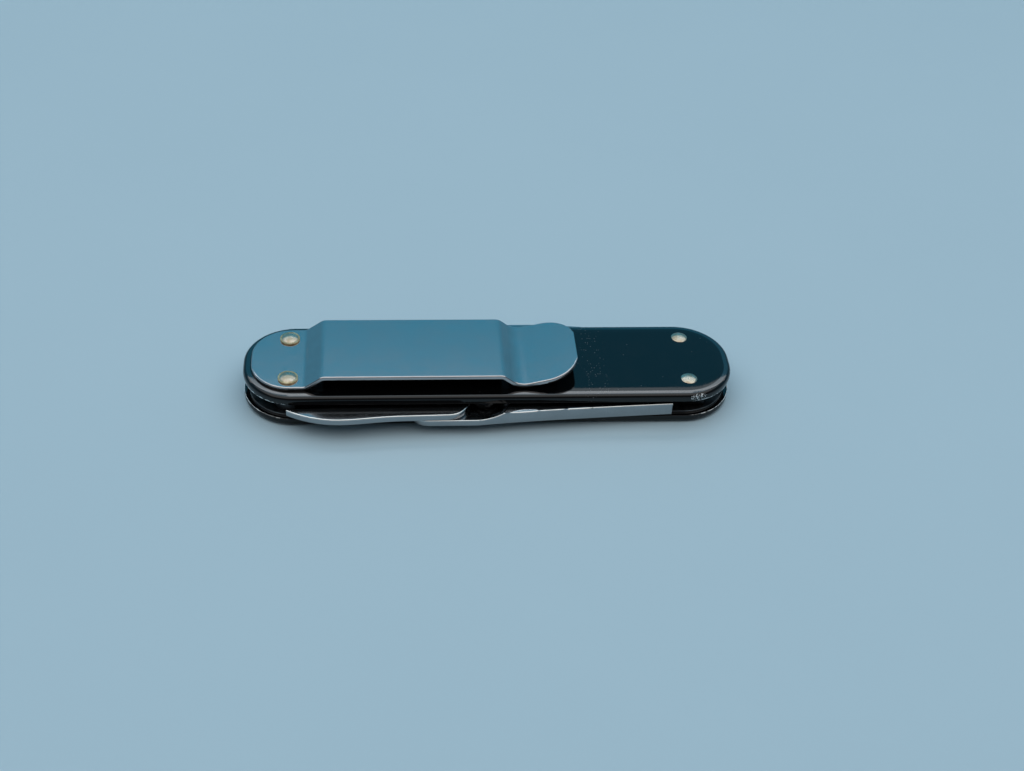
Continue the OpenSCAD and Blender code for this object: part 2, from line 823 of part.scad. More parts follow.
module nail_file() {
    crown_run = 11;
    crown = [hinge.x + crown_run, file_back];
    bend_run = 4;
    bend = [file_point.x - bend_run, file_back];
    rise_run = 1.2;
    rise_in = 0.4;
    rise = hinge + [rise_run, tang_r - rise_in];
    root_run = 5;
    tip_root = [file_point.x - root_run, file_edge];
    heel_run = 7;
    heel = [hinge.x + heel_run, file_edge];
    rise_lead = [4, 1.4];
    crown_lead = [4, 0.1];
    bend_lead = [2, 0];
    tip_lead = [0, 1.2];
    root_lead = [2.5, 0];
    nick_run = 9;
    nick_in = 1.2;
    nick = [file_point.x - nick_run, file_back - nick_in];
    color("#b0b6bc")
        difference() {
            union() {
                rod(hinge, tang_r, tool_z0, lower_z1);
                layer(tool_z0, lower_z1)
                    polygon(concat([hinge], curve(rise, rise + rise_lead, crown - crown_lead, crown),
                        [crown], curve(bend, bend + bend_lead, file_point + tip_lead, file_point),
                        curve(file_point, file_point - tip_lead, tip_root + root_lead, tip_root),
                        [tip_root, heel, hinge + tang_side]));
            }
            rod(hinge, pin_r + pivot_play, 0, far);
            nail_nick(nick, tool_z0, -1);
        }
}

front_scale();
back_scale();
front_liner();
back_liner();
money_clip();
clip_rivet_collar();
tool_rivet_collar();
scissors_pivot_rivet();
blade_spring_rivet();
clip_rivet();
tool_pivot_rivet();
scissors_backspring();
blade_backspring();
scissors_upper_blade();
scissors_lever_blade();
scissors_joint_rivet();
scissors_leaf_spring();
pen_blade();
nail_file();
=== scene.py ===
"""Looks of a slim pocket knife with a money clip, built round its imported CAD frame.

Objects are in metres, in the CAD frame. Sizes of the knife's details are in millimetres where they
aren't times MM, and so are the coordinates that the materials read.
"""
import json
import math

import bmesh
import bpy
import numpy as np
from mathutils import Matrix, Vector
from mathutils.bvhtree import BVHTree
from mathutils.geometry import intersect_point_line

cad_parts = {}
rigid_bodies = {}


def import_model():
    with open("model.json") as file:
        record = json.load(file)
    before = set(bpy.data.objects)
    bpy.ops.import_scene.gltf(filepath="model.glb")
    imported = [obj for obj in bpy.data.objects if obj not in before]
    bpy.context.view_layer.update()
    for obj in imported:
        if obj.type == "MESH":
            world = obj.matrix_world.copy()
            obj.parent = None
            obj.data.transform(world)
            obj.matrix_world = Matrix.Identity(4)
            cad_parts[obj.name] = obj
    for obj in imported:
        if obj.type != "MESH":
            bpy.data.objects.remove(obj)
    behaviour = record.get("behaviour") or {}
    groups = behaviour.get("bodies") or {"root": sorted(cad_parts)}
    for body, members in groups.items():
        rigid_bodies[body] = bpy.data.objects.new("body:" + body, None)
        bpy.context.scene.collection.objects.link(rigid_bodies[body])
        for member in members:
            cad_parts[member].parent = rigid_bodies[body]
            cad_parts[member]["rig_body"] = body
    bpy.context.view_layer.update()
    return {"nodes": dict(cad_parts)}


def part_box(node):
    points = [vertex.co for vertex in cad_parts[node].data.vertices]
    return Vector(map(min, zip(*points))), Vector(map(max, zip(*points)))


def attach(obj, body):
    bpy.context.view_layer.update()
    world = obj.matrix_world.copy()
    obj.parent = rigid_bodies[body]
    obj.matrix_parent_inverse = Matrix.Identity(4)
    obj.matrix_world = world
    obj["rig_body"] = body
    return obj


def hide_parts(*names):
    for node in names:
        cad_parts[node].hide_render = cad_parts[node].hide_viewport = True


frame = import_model()
MM = 0.001

# Camera, fitted to the photograph: degrees, millimetres, and a lens for this width of sensor
VIEW_AZIMUTH = -6.269
VIEW_ELEVATION = 39.192
VIEW_ROLL = 3.496
VIEW_DISTANCE = 244.174
VIEW_TARGET = (3.406, -2.753, 2.7)
LENS = 56.52
SENSOR_W = 36
# Stage, in metres: how near and far the camera sees, and the floor
SEEN_FROM = 0.01
SEEN_TO = 20
FLOOR_HALF = 3
FLOOR_DROP = 0.02 * MM
# Lamps: name, place, width and depth in metres, power in watts, and colour
LAMPS = (
    ("overhead_softbox", (0, -0.084, 0.594), (1.3, 0.78), 3.6, (1, 0.96, 0.92)),
    ("window_softbox", (0, 0.351, 0.487), (1.5, 0.058), 0.5, (1, 0.92, 0.89)),
    ("back_softbox", (0, 0.4, 0.447), (1.2, 0.08), 0.36, (1, 0.94, 0.9)),
)
# Colours of the room on the viewer's side, beyond the knife and at both sides of that
ROOM_NEAR = (0.12, 0.135, 0.15)
ROOM_FAR = (0.065, 0.375, 0.585)
ROOM_SIDE = (0.11, 0.37, 0.55)

# Rounding of the sharp edges of each node
EDGE_ROUNDING = {
    "front_scale": 0.08,
    "back_scale": 0.08,
    "front_liner": 0.04,
    "back_liner": 0.04,
    "money_clip": 0.08,
    "clip_rivet_collar": 0.04,
    "tool_rivet_collar": 0.04,
    "scissors_pivot_rivet": 0.03,
    "blade_spring_rivet": 0.03,
    "clip_rivet": 0.03,
    "tool_pivot_rivet": 0.03,
    "scissors_backspring": 0.06,
    "blade_backspring": 0.06,
    "scissors_upper_blade": 0.05,
    "scissors_lever_blade": 0.05,
    "scissors_joint_rivet": 0,
    "scissors_leaf_spring": 0.04,
    "pen_blade": 0.04,
    "nail_file": 0.05,
}
# Wider rounding of the upper edges of the clip, and of what stands out of the near slot
UPPER_ROUNDING = {"money_clip": 0.22, "scissors_upper_blade": 0.16, "scissors_lever_blade": 0.14}
# An upper edge has a face whose normal rises by more than this
LOOKS_UP = 0.3
NEAR_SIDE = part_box("front_scale")[0].y
# A rounding wider than this is made in more steps, and its metal can be rubbed bright
WIDE = 0.1
STEPS = 2
WIDE_STEPS = 3
# Angles between two faces: up to the first they count as one plane, above the second their edge is
# rounded, and above the third it is a crease in the shading
FLAT_ANGLE = math.radians(0.3)
SHARP_ANGLE = math.radians(25)
CREASE_ANGLE = math.radians(50)
# A face is at least this many times as wide as the rounding beside it, and an edge is longer than
# what the roundings at its two corners take up, their lead
ROOM_NEEDED = 2.5
LEAST_LEAD = 0.01
# Edges with less room than this stay sharp on these nodes, which leaves out their nail nicks
NICK_ROOM = {"pen_blade": 0.18 * MM, "nail_file": 0.18 * MM}
# Where a rounding cuts a face, edges within this reach stay sharp in the next try
CUT_REACH = 0.2 * MM
ROUNDING_TRIES = 8
# Long edges are parted this far from their ends, so that an end alone can stay sharp
END_PIECE = 0.3 * MM
WELD = 0.002 * MM
# Places of the rivets, in metres: the bores under their heads stay sharp
RIVET_NODES = ("scissors_pivot_rivet", "blade_spring_rivet", "clip_rivet", "tool_pivot_rivet")
RIVETS = {node: sum(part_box(node), Vector()) / 2 for node in RIVET_NODES}
HEAD_REACH = 1.25 * MM

# Ridges of the nail file: start and end along it, distance from its back, and one ridge's shape
TEETH_START = 15
TEETH_END = 6
TEETH_IN = 0.4
TEETH_W = 3.6
TEETH_PITCH = 0.45
TEETH_FOOT = 0.36
TEETH_PROUD = 0.02
TEETH_SUNK = 0.01
TEETH_ANGLE = 60

# Features of a ground grain to the millimetre, along each axis
ALONG_X = (0.5, 16, 16)
ACROSS_X = (18, 0.6, 0.6)
# Bare line of the black scales: how far from the ends it is full and gone, and its greatest reach
WORN_END = 5
WORN_FADE = 8
FRONT_WEAR = 0.3
BACK_WEAR = 0.12
# Chips beside the scissors' pivot: from the right end, the near side and up from the arris. Those of
# the back scale lie off it, so it has none
CHIPS_IN = 6
CHIPS_BACK = 0.3
FRONT_CHIP_RISE = 0.7
BACK_CHIP_RISE = -5
# Middle of the dust before the clip's lip, from the lip's end
LIP_DUST_OUT = 2.8
COAT_IOR = 1.45
RIM_IOR = 1.95
# Radii of the painted shade: near-black patches round the scissors' joints, where they lie in shadow
TANG_SHADE_RADIUS = 3.3
JOINT_SHADE_RADIUS = 2.9

COAT_BLACK = (0.001, 0.0011, 0.0013)
COAT_SCRATCHED = (0.0028, 0.003, 0.0033)
DUST = (0.09, 0.092, 0.092)
BARE_METAL = (0.8, 0.8, 0.79)
CLIP_STEEL = (0.5, 0.475, 0.475)
TOOL_STEEL = (0.36, 0.37, 0.38)
TOOL_RUBBED = (0.7, 0.69, 0.67)
# Near-black painted shade round the scissors' pivot and joint
TOOL_PAINTED_SHADE = (0.03, 0.032, 0.034)
LINER_STEEL = (0.5, 0.51, 0.52)
# Near-black painted shade on the liners' faces inside the slot
LINER_PAINTED_SHADE = (0.012, 0.012, 0.012)
# Springs deep in the slot: their steel darkened to near-black, painted shade
SPRING_STEEL_SHADED = (0.09, 0.093, 0.098)
NICKEL = (0.55, 0.49, 0.4)
NICKEL_TARNISH = (0.42, 0.33, 0.23)
BRASS = (0.6, 0.47, 0.28)
BRASS_TARNISH = (0.4, 0.29, 0.16)
# Steel down in the file's cuts darkened by painted shade; the crests are plain steel
FILE_GROOVE_SHADE = (0.2, 0.215, 0.225)
FILE_CREST = (0.46, 0.48, 0.49)
FLOOR_PALE = (0.42, 0.55, 0.62)
FLOOR_PALER = (0.44, 0.57, 0.64)


def box_mm(node):
    """Lowest and highest corner of a CAD node, in millimetres."""
    low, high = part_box(node)
    return low / MM, high / MM


def middle_of(node):
    """Centre of a CAD node's box, in millimetres."""
    low, high = box_mm(node)
    return tuple((low + high) / 2)


def way_across(corners, normal, index, sharp):
    """Distance over a face from the middle of one side, square to it, to a sharp far side."""
    start, end = corners[index], corners[(index + 1) % len(corners)]
    along = (end - start) / np.linalg.norm(end - start)
    offsets = corners - (start + end) / 2
    u, w = offsets @ along, offsets @ np.cross(normal, along)
    du, dw = np.roll(u, -1) - u, np.roll(w, -1) - w
    crossed = (u * (u + du) <= 0) & (du != 0) & sharp
    crossed[index] = False
    ways = w[crossed] - dw[crossed] * u[crossed] / du[crossed]
    return min(ways[ways > WELD], default=math.inf)


def is_sharp(edge):
    """Whether the faces beside an edge meet at an angle."""
    return edge.calc_face_angle(0) > SHARP_ANGLE


def corner_lead(loop, beside):
    """How far a rounding of unit width runs along an edge, at a corner with another sharp edge."""
    if not is_sharp(beside):
        return 0
    lead = 1 / math.tan(loop.calc_angle() / 2)
    return lead if loop.is_convex else -lead


def widest_rounding(shape):
    """For each sharp edge, the widest rounding that the faces beside it leave room for."""
    widest = {}
    for face in shape.faces:
        corners = np.array([v.co for v in face.verts])
        normal = np.array(face.normal)
        sharp = np.array([is_sharp(loop.edge) for loop in face.loops])
        for index in np.flatnonzero(sharp):
            loop = face.loops[index]
            edge, after = loop.edge, loop.link_loop_next
            lead = corner_lead(loop, loop.link_loop_prev.edge) + corner_lead(after, after.edge)
            room = way_across(corners, normal, index, sharp) / ROOM_NEEDED
            room = min(room, edge.calc_length() / max(lead, LEAST_LEAD))
            widest[edge] = min(room, widest.get(edge, math.inf))
    return widest


def wanted_rounding(edge, node):
    """Width of the rounding that an edge of a node gets where there is room, in metres."""
    middle = (edge.verts[0].co + edge.verts[1].co) / 2
    if node not in RIVETS and any((middle - p).xy.length < HEAD_REACH for p in RIVETS.values()):
        return 0
    looks_up = max(face.normal.z for face in edge.link_faces) > LOOKS_UP
    if node in UPPER_ROUNDING and looks_up and (node == "money_clip" or middle.y < NEAR_SIDE):
        return UPPER_ROUNDING[node] * MM
    return EDGE_ROUNDING[node] * MM


def passes_by(edge, places):
    """Whether an edge passes close by one of these places."""
    start, end = (v.co for v in edge.verts)
    for place in places:
        share = intersect_point_line(place, start, end)[1]
        if (start.lerp(end, min(max(share, 0), 1)) - place).length < CUT_REACH:
            return True
    return False


def cut_places(shape):
    """Places where two faces of a mesh cut each other."""
    shape.faces.ensure_lookup_table()
    tree = BVHTree.FromBMesh(shape)
    places = []
    for pair in tree.overlap(tree):
        small, large = sorted((shape.faces[i] for i in pair), key=lambda face: face.calc_area())
        if not set(small.verts) & set(large.verts):
            places.append(small.calc_center_median())
    return places


def round_edges(shape, node, sharp_places):
    """Rounds the sharp edges of a mesh that have room for it, the widest first."""
    groups = {}
    for edge, widest in widest_rounding(shape).items():
        width = wanted_rounding(edge, node)
        roomy = widest > max(width, NICK_ROOM.get(node, 0))
        if width > 0 and roomy and not passes_by(edge, sharp_places):
            groups.setdefault(width, []).append(edge)
    rubbed = shape.faces.layers.float.new("rubbed")
    for width in sorted(groups, reverse=True):
        edges = [e for e in groups[width] if e.is_valid]
        wide = width > WIDE * MM
        made = bmesh.ops.bevel(shape, geom=edges, offset=width, offset_type="OFFSET",
                               segments=WIDE_STEPS if wide else STEPS, profile=0.5, affect="EDGES",
                               clamp_overlap=False, loop_slide=False)
        for face in made["faces"]:
            face[rubbed] = wide
    bmesh.ops.dissolve_degenerate(shape, dist=WELD / 4, edges=shape.edges)


def part_ends(shape):
    """Parts a short piece from both ends of each long sharp edge."""
    for edge in [e for e in shape.edges if is_sharp(e) and e.calc_length() > 4 * END_PIECE]:
        for corner in tuple(edge.verts):
            bmesh.utils.edge_split(edge, corner, END_PIECE / edge.calc_length())


def rounded(shape, node):
    """A copy of a mesh with rounded edges, which stay sharp where their rounding would cut a face."""
    sharp_places = []
    for _ in range(ROUNDING_TRIES):
        trial = shape.copy()
        round_edges(trial, node, sharp_places)
        cuts = cut_places(trial)
        if not cuts:
            return trial
        sharp_places += cuts
        trial.free()
    return shape.copy()


def finish_mesh(node):
    """A copy of a CAD node's mesh with rounded edges and smooth shading."""
    shape = bmesh.new()
    shape.from_mesh(frame["nodes"][node].data)
    bmesh.ops.remove_doubles(shape, verts=shape.verts, dist=WELD)
    bmesh.ops.dissolve_limit(shape, angle_limit=FLAT_ANGLE, verts=shape.verts, edges=shape.edges)
    part_ends(shape)
    smooth = rounded(shape, node)
    for face in smooth.faces:
        face.smooth = True
    for edge in smooth.edges:
        edge.smooth = edge.calc_face_angle(0) < CREASE_ANGLE
    mesh = bpy.data.meshes.new(node + "_finish")
    smooth.to_mesh(mesh)
    smooth.free()
    shape.free()
    normals = mesh.attributes.get("custom_normal")
    if normals:
        mesh.attributes.remove(normals)
    return mesh


def dress(node, material):
    """Adds the piece that stands for a CAD node."""
    cad = frame["nodes"][node]
    mesh = finish_mesh(node)
    mesh.materials.append(material)
    piece = bpy.data.objects.new(node + "_finish", mesh)
    bpy.context.scene.collection.objects.link(piece)
    weights = piece.modifiers.new("even_normals", "WEIGHTED_NORMAL")
    weights.keep_sharp = True
    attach(piece, cad["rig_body"])
    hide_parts(node)


def add_file_teeth(material):
    """Slanted ridges on the file's upper face: one mesh of closed three-sided bars."""
    low, high = box_mm("nail_file")
    y_in, y_out = high.y - TEETH_IN - TEETH_W, high.y - TEETH_IN
    foot, crest = high.z - TEETH_SUNK, high.z + TEETH_PROUD
    lean = TEETH_W / math.tan(math.radians(TEETH_ANGLE))
    points, faces = [], []
    for row in range(int((high.x - low.x - TEETH_START - TEETH_END - lean) / TEETH_PITCH)):
        x = low.x + TEETH_START + row * TEETH_PITCH
        first = len(points)
        for y, shift in ((y_in, 0), (y_out, lean)):
            points += [(x + shift - TEETH_FOOT / 2, y, foot), (x + shift + TEETH_FOOT / 2, y, foot),
                       (x + shift, y, crest)]
        bar = [(0, 1, 2), (5, 4, 3), (0, 3, 4, 1), (1, 4, 5, 2), (2, 5, 3, 0)]
        faces += [tuple(first + i for i in face) for face in bar]
    mesh = bpy.data.meshes.new("file_teeth")
    mesh.from_pydata([tuple(c * MM for c in p) for p in points], [], faces)
    mesh.materials.append(material)
    teeth = bpy.data.objects.new("file_teeth", mesh)
    bpy.context.scene.collection.objects.link(teeth)
    cad = frame["nodes"]["nail_file"]
    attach(teeth, cad["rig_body"])


class Graph:
    """Node tree of one material, with short ways to add nodes."""

    def __init__(self, name):
        self.material = bpy.data.materials.new(name)
        self.material.use_nodes = True
        self.tree = self.material.node_tree
        self.tree.nodes.clear()
        place = self.add("TexCoord").outputs["Object"]
        self.place = self.scaled(place, (1 / MM, 1 / MM, 1 / MM))

    def add(self, kind, inputs=None, **settings):
        """A node of this kind. Inputs are sockets to link or values to set."""
        node = self.tree.nodes.new("ShaderNode" + kind)
        for name, value in settings.items():
            setattr(node, name, value)
        for name, value in (inputs or {}).items():
            if isinstance(value, bpy.types.NodeSocket):
                self.tree.links.new(value, node.inputs[name])
            else:
                node.inputs[name].default_value = value
        return node

    def scaled(self, vector, factors):
        """The vector with each part times its factor."""
        return self.add("VectorMath", {0: vector, 1: factors}, operation="MULTIPLY").outputs[0]

    def turned(self, angle):
        """The coordinates turned about Z by an angle in degrees."""
        turn = {"Vector": self.place, "Rotation": (0, 0, math.radians(angle))}
        return self.add("Mapping", turn).outputs[0]

    def noise(self, stretch, detail=4, roughness=0.55, place=None):
        """Noise from 0 to 1, with this many features to the millimetre along each axis."""
        at = self.scaled(place or self.place, stretch)
        inputs = {"Vector": at, "Scale": 1, "Detail": detail, "Roughness": roughness}
        return self.add("TexNoise", inputs).outputs[0]

    def math(self, operation, a, b=0):
        """One step of arithmetic."""
        return self.add("Math", {0: a, 1: b}, operation=operation).outputs[0]

    def ramp(self, value, low, high, to_low=0, to_high=1):
        """The value mapped smoothly from one range to another, and held at its ends."""
        inputs = {"Value": value, "From Min": low, "From Max": high, "To Min": to_low, "To Max": to_high}
        return self.add("MapRange", inputs, interpolation_type="SMOOTHSTEP").outputs[0]

    def tint(self, share, a, b):
        """Colour a turning to colour b as the share goes from 0 to 1."""
        start, end = ((*c, 1) if isinstance(c, tuple) else c for c in (a, b))
        return self.add("Mix", {0: share, 6: start, 7: end}, data_type="RGBA").outputs[2]

    def distance(self, point, along=(1, 1, 1)):
        """Distance from a point, with each axis times its factor."""
        at = self.scaled(self.place, along)
        spot = tuple(p * a for p, a in zip(point, along))
        return self.add("VectorMath", {0: at, 1: spot}, operation="DISTANCE").outputs["Value"]

    def bump(self, height, depth, under=None):
        """A bumped normal. The depth is in millimetres."""
        inputs = {"Height": height, "Strength": 1, "Distance": depth * MM}
        if under:
            inputs["Normal"] = under
        return self.add("Bump", inputs).outputs[0]

    def scratches(self, angle, rarity):
        """Share of fine straight scratches that run at an angle to X."""
        lines = self.noise((0.1, 7, 7), detail=0, place=self.turned(-angle))
        return self.ramp(lines, rarity, rarity + 0.05)

    def specks(self, spacing, radius, rarity):
        """Share of small round specks. A rarity nearer to 1 leaves more of them out."""
        cells = self.add("TexVoronoi", {"Vector": self.place, "Scale": 1 / spacing}).outputs
        picked = self.add("SeparateXYZ", {0: cells["Color"]}).outputs["X"]
        spot = self.ramp(cells["Distance"], 0.5 * radius / spacing, radius / spacing, 1, 0)
        return self.math("MULTIPLY", spot, self.ramp(picked, rarity, rarity + 0.02))

    def finish(self, inputs):
        """Ends the tree in one principled shader and returns the material."""
        shader = self.add("BsdfPrincipled", inputs).outputs[0]
        self.add("OutputMaterial", {"Surface": shader})
        return self.material


def bare_line(g, arris_z, wear, facing):
    """Share of a thin bare line that follows a scale's inner arris and widens at both ends."""
    split = g.add("SeparateXYZ", {0: g.place}).outputs
    end_x = box_mm("front_scale")[1].x
    to_arris = g.math("ABSOLUTE", g.math("SUBTRACT", split["Z"], arris_z))
    at_end = g.ramp(g.math("ABSOLUTE", split["X"]), end_x - WORN_FADE, end_x - WORN_END)
    knocks = g.ramp(g.noise((1.3, 1.3, 0.3), detail=5), 0.35, 0.65, 0.05, wear)
    reach = g.math("SUBTRACT", g.math("MULTIPLY", at_end, knocks), 0.04)
    line = g.ramp(g.math("SUBTRACT", to_arris, reach), -0.03, 0.03, 1, 0)
    on_side = g.ramp(g.math("ABSOLUTE", facing), 0.94, 0.99, 1, 0)
    return g.math("MULTIPLY", line, on_side)


def bare_chips(g, center_z):
    """Share of the chips on the rounded edge beside the scissors' pivot."""
    low, high = box_mm("front_scale")
    to_chips = g.distance((high.x - CHIPS_IN, low.y + CHIPS_BACK, center_z), (0.6, 1, 1.7))
    flakes = g.ramp(g.noise((3.6, 3.6, 3.6), detail=6, roughness=0.7), 0.5, 0.57)
    chips = g.math("MULTIPLY", g.ramp(to_chips, 0.5, 1.1, 1, 0), flakes)
    return g.ramp(chips, 0.3, 0.5)


def fine_dust(g):
    """Share of fine dust, which gathers before the clip's lip."""
    lip_x = box_mm("money_clip")[1].x
    by_lip = g.ramp(g.distance((lip_x + LIP_DUST_OUT, 0, 0), (1, 0, 0)), 0.8, 2.4, 1, 0)
    gathered = g.math("MULTIPLY", by_lip, g.specks(0.4, 0.1, 0.4))
    return g.math("MAXIMUM", g.specks(0.9, 0.09, 0.92), gathered)


def black_scale(name, arris_z, wear, chip_rise):
    """Glossy black finish on light metal: worn bare in places, smudged, scratched and dusty."""
    g = Graph(name)
    facing = g.add("SeparateXYZ", {0: g.add("NewGeometry").outputs["True Normal"]}).outputs["Z"]
    bare = g.math("MAXIMUM", bare_line(g, arris_z, wear, facing), bare_chips(g, arris_z + chip_rise))
    hairs = g.math("MAXIMUM", g.scratches(28, 0.8), g.scratches(-52, 0.81))
    dust = fine_dust(g)
    color = g.tint(hairs, COAT_BLACK, COAT_SCRATCHED)
    color = g.tint(dust, color, DUST)
    color = g.tint(bare, color, BARE_METAL)
    smudge = g.ramp(g.noise((0.22, 0.3, 0.3), detail=5), 0.3, 0.75)
    rough = g.ramp(smudge, 0, 1, 0.07, 0.11)
    rough = g.math("ADD", rough, g.math("MULTIPLY", g.math("MAXIMUM", hairs, dust), 0.04))
    rough = g.math("ADD", rough, g.math("MULTIPLY", bare, 0.35))
    peel = g.bump(g.noise((1.4, 1.4, 1.4), detail=3), 0.0015)
    nicked = g.bump(g.math("SUBTRACT", 1, bare), 0.02, peel)
    # Handling has polished the rim that slopes down from the upper face
    sloping = g.ramp(facing, 0.992, 0.998, 1, 0)
    rim = g.math("MULTIPLY", sloping, g.ramp(facing, 0.93, 0.97))
    return g.finish({"Base Color": color, "Metallic": g.math("MULTIPLY", bare, 0.6), "Roughness": rough,
                     "IOR": g.ramp(rim, 0, 1, COAT_IOR, RIM_IOR), "Normal": nicked})


def shade(color, factor):
    """A colour made darker or lighter by a factor."""
    return tuple(min(1, factor * c) for c in color)


def ground_tone(g, color, roughness, lines):
    """Colour and roughness of ground metal, faintly clouded and with hairline scratches."""
    cloud = g.noise((0.3, 0.45, 0.45), detail=5)
    hairs = g.math("MAXIMUM", g.scratches(17, 0.79), g.scratches(-64, 0.8))
    tone = g.tint(g.ramp(cloud, 0.3, 0.7), color, shade(color, 0.88))
    tone = g.tint(g.ramp(lines, 0.3, 0.7), tone, shade(color, 0.9))
    tone = g.tint(g.math("MULTIPLY", hairs, 0.2), tone, shade(color, 1.2))
    rough = g.ramp(cloud, 0.25, 0.75, roughness - 0.015, roughness + 0.015)
    return tone, g.math("ADD", rough, g.ramp(lines, 0.25, 0.75, -0.02, 0.02))


def darkened(g, tone, rough, share, dark, dark_rough):
    """Colour and roughness of a metal that is dark over this share of it."""
    change = g.math("MULTIPLY", share, g.math("SUBTRACT", dark_rough, rough))
    return g.tint(share, tone, dark), g.math("ADD", rough, change)


def ground_metal(name, color, roughness, grain, grain_depth):
    """Metal with a fine ground grain."""
    g = Graph(name)
    lines = g.noise(grain, detail=3, roughness=0.6)
    tone, rough = ground_tone(g, color, roughness, lines)
    return g.finish({"Base Color": tone, "Metallic": 1, "Roughness": rough,
                     "Normal": g.bump(lines, grain_depth)})


def tool_steel_with_painted_shade(name, shade_spots):
    """Ground tool steel, rubbed bright on wide roundings and darkened by painted shade round spots: a
    centre and radius each.
    """
    g = Graph(name)
    lines = g.noise(ACROSS_X, detail=3, roughness=0.6)
    tone, rough = ground_tone(g, TOOL_STEEL, 0.15, lines)
    rubbed = g.add("Attribute", attribute_name="rubbed").outputs["Fac"]
    tone = g.tint(rubbed, tone, TOOL_RUBBED)
    patches = g.ramp(g.noise((0.9, 0.9, 0.9), detail=4), 0.3, 0.7, -0.3, 0.3)
    # Painted shade: dark patches round each spot, where the tang and the joint's hub lie in the slot's
    # shadow
    for center, radius in shade_spots:
        away = g.math("ADD", g.distance(center, (1, 1, 0)), patches)
        share = g.ramp(away, radius - 0.3, radius + 0.3, 1, 0)
        tone, rough = darkened(g, tone, rough, share, TOOL_PAINTED_SHADE, 0.2)
    return g.finish({"Base Color": tone, "Metallic": 1, "Roughness": rough,
                     "Normal": g.bump(lines, 0.0006)})


def liner_with_painted_shade(name, node):
    """Steel plate with painted shade, near-black in blotches, on its faces, and plain steel on its cut
    edge.
    """
    g = Graph(name)
    lines = g.noise(ALONG_X, detail=3, roughness=0.6)
    tone, rough = ground_tone(g, LINER_STEEL, 0.3, lines)
    low, high = box_mm(node)
    half = (high.z - low.z) / 2
    # Painted shade: the faces, which lie inside the slot, darkened to near-black in blotches
    blotches = g.ramp(g.noise((0.5, 0.5, 0.5), detail=5), 0.3, 0.7, 0.75, 1)
    on_face = g.ramp(g.distance(middle_of(node), (0, 0, 1)), 0.7 * half, 0.95 * half)
    share = g.math("MULTIPLY", on_face, blotches)
    tone, rough = darkened(g, tone, rough, share, LINER_PAINTED_SHADE, 0.55)
    return g.finish({"Base Color": tone, "Metallic": 1, "Roughness": rough,
                     "Normal": g.bump(lines, 0.002)})


def worn_rivet(name):
    """Nickel silver, rubbed bright in places and tarnished in others, with small dents."""
    g = Graph(name)
    cloud = g.noise((1.1, 1.1, 1.1), detail=5)
    dents = g.noise((2.4, 2.4, 2.4), detail=3)
    tone = g.tint(g.ramp(cloud, 0.35, 0.65), NICKEL, NICKEL_TARNISH)
    rough = g.ramp(cloud, 0.3, 0.7, 0.26, 0.36)
    return g.finish({"Base Color": tone, "Metallic": 1, "Roughness": rough, "Normal": g.bump(dents, 0.03)})


def tarnished_brass(name):
    """Brass with brown tarnish."""
    g = Graph(name)
    cloud = g.noise((1.6, 1.6, 1.6), detail=5)
    tone = g.tint(g.ramp(cloud, 0.35, 0.62), BRASS, BRASS_TARNISH)
    rough = g.ramp(cloud, 0.3, 0.7, 0.28, 0.42)
    return g.finish({"Base Color": tone, "Metallic": 1, "Roughness": rough,
                     "Normal": g.bump(g.noise((6, 6, 6)), 0.004)})


def file_steel(name):
    """Steel with the crossed cuts of a nail file, darkened down in the cuts by painted shade."""
    g = Graph(name)
    cuts = []
    for angle in (32, -32):
        wave = {"Vector": g.turned(angle), "Scale": 0.55, "Distortion": 0.2, "Detail": 1}
        cuts.append(g.add("TexWave", wave, bands_direction="X").outputs["Fac"])
    teeth = g.math("MULTIPLY", cuts[0], cuts[1])
    cloud = g.noise((0.6, 0.6, 0.6), detail=5)
    # Painted shade: darker where the cuts sink, lighter on their crests
    tone = g.tint(g.ramp(teeth, 0, 0.5), FILE_GROOVE_SHADE, FILE_CREST)
    rough = g.ramp(cloud, 0.3, 0.7, 0.28, 0.4)
    return g.finish({"Base Color": tone, "Metallic": 1, "Roughness": rough, "Normal": g.bump(teeth, 0.05)})


def floor_material():
    """Plain pale floor, faintly uneven."""
    g = Graph("floor_pale")
    cloud = g.noise((0.02, 0.02, 0.02), detail=3)
    color = g.tint(cloud, FLOOR_PALE, FLOOR_PALER)
    return g.finish({"Base Color": color, "Roughness": 0.6, "Specular IOR Level": 0.2})


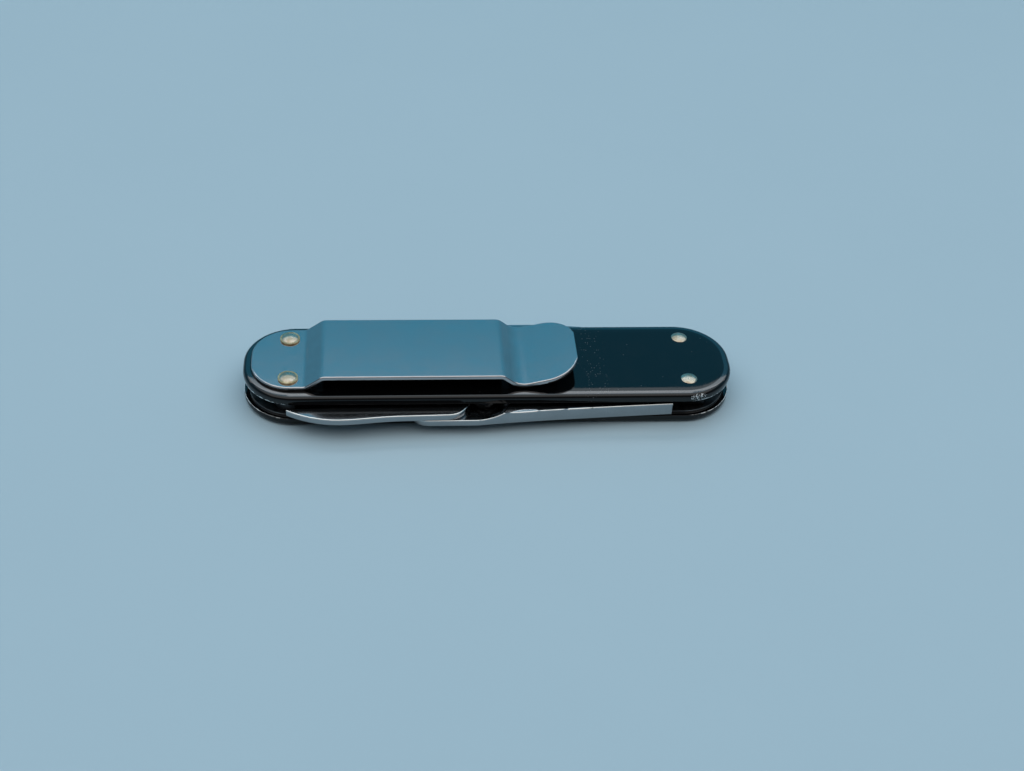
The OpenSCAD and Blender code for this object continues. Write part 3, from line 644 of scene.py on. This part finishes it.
def node_materials():
    """The material of each node."""
    front_arris = box_mm("front_scale")[0].z
    back_arris = box_mm("back_scale")[1].z
    brass = tarnished_brass("collar_brass_worn")
    rivet = worn_rivet("rivet_nickel_worn")
    # The springs' dark steel is painted shade
    spring = ground_metal("spring_steel_painted_shade", SPRING_STEEL_SHADED, 0.42, ALONG_X, 0.002)
    # Spots of painted shade round the scissors' pivot and joint
    tang_shade = (middle_of("scissors_pivot_rivet"), TANG_SHADE_RADIUS)
    joint_shade = (middle_of("scissors_joint_rivet"), JOINT_SHADE_RADIUS)
    tool = tool_steel_with_painted_shade("tool_steel_ground_painted_shade", [tang_shade, joint_shade])
    return {
        "front_scale": black_scale("front_black", front_arris, FRONT_WEAR, FRONT_CHIP_RISE),
        "back_scale": black_scale("back_black", back_arris, BACK_WEAR, BACK_CHIP_RISE),
        "front_liner": liner_with_painted_shade("front_liner_painted_shade", "front_liner"),
        "back_liner": liner_with_painted_shade("back_liner_painted_shade", "back_liner"),
        "money_clip": ground_metal("clip_steel_satin", CLIP_STEEL, 0.16, ALONG_X, 0.0006),
        "clip_rivet_collar": brass,
        "tool_rivet_collar": brass,
        "scissors_pivot_rivet": rivet,
        "blade_spring_rivet": rivet,
        "clip_rivet": rivet,
        "tool_pivot_rivet": rivet,
        "scissors_backspring": spring,
        "blade_backspring": spring,
        "scissors_upper_blade": tool,
        "scissors_lever_blade": tool,
        "scissors_joint_rivet": rivet,
        "scissors_leaf_spring": spring,
        "pen_blade": tool,
        "nail_file": file_steel("file_steel_cut"),
    }


def add_floor():
    """A wide floor just under the knife's back face."""
    mesh = bpy.data.meshes.new("floor")
    turns = ((-1, -1), (1, -1), (1, 1), (-1, 1))
    corners = [(x * FLOOR_HALF, y * FLOOR_HALF, -FLOOR_DROP) for x, y in turns]
    mesh.from_pydata(corners, [], [(0, 1, 2, 3)])
    mesh.materials.append(floor_material())
    floor = bpy.data.objects.new("floor", mesh)
    bpy.context.scene.collection.objects.link(floor)


def add_softbox(name, place, size, power, color):
    """A soft light of this width and depth that faces the knife."""
    data = bpy.data.lights.new(name, "AREA")
    data.shape = "RECTANGLE"
    data.size, data.size_y = size
    data.energy = power
    data.color = color
    lamp = bpy.data.objects.new(name, data)
    lamp.location = place
    lamp.rotation_mode = "QUATERNION"
    lamp.rotation_quaternion = (-Vector(place)).to_track_quat("-Z", "Y")
    bpy.context.scene.collection.objects.link(lamp)


def add_world():
    """A dim room that is brighter beyond the knife and at its sides, and darker towards the floor."""
    world = bpy.data.worlds.new("studio")
    world.use_nodes = True
    tree = world.node_tree

    def add(kind, source, name, **values):
        node = tree.nodes.new("ShaderNode" + kind)
        for key, value in values.items():
            node.inputs[key.replace("_", " ")].default_value = value
        tree.links.new(source, node.inputs[name])
        return node

    place = tree.nodes.new("ShaderNodeTexCoord").outputs["Generated"]
    split = add("SeparateXYZ", place, 0).outputs
    beyond = add("MapRange", split["Y"], "Value", From_Min=-0.5, From_Max=0.6)
    level = add("MapRange", split["Z"], "Value", From_Min=0, From_Max=0.6, To_Min=0.78, To_Max=1)
    across = add("Math", split["X"], 0)
    across.operation = "ABSOLUTE"
    aside = add("MapRange", across.outputs[0], "Value", From_Min=0.25, From_Max=0.6)
    far = add("Mix", aside.outputs[0], 0)
    far.data_type = "RGBA"
    far.inputs[6].default_value = (*ROOM_FAR, 1)
    far.inputs[7].default_value = (*ROOM_SIDE, 1)
    mix = add("Mix", beyond.outputs[0], 0)
    mix.data_type = "RGBA"
    mix.inputs[6].default_value = (*ROOM_NEAR, 1)
    tree.links.new(far.outputs[2], mix.inputs[7])
    sky = tree.nodes["Background"]
    tree.links.new(mix.outputs[2], sky.inputs["Color"])
    tree.links.new(level.outputs[0], sky.inputs["Strength"])
    bpy.context.scene.world = world


def add_camera():
    """The photograph's camera."""
    azimuth, elevation, roll = (math.radians(v) for v in (VIEW_AZIMUTH, VIEW_ELEVATION, VIEW_ROLL))
    flat = math.cos(elevation)
    back = Vector((math.sin(azimuth) * flat, -math.cos(azimuth) * flat, math.sin(elevation)))
    level = Vector((math.cos(azimuth), math.sin(azimuth), 0))
    upright = back.cross(level)
    right = math.cos(roll) * level + math.sin(roll) * upright
    up = math.cos(roll) * upright - math.sin(roll) * level
    data = bpy.data.cameras.new("camera")
    data.sensor_width = SENSOR_W
    data.lens = LENS
    data.clip_start = SEEN_FROM
    data.clip_end = SEEN_TO
    camera = bpy.data.objects.new("camera", data)
    axes = Matrix((right, up, back)).transposed().to_4x4()
    place = (Vector(VIEW_TARGET) + VIEW_DISTANCE * back) * MM
    camera.matrix_world = Matrix.Translation(place) @ axes
    bpy.context.scene.collection.objects.link(camera)
    bpy.context.scene.camera = camera


materials = node_materials()
for node_name in EDGE_ROUNDING:
    dress(node_name, materials[node_name])
add_file_teeth(materials["nail_file"])

add_floor()
add_world()
for lamp_settings in LAMPS:
    add_softbox(*lamp_settings)
add_camera()
bpy.context.scene.view_settings.view_transform = "Standard"
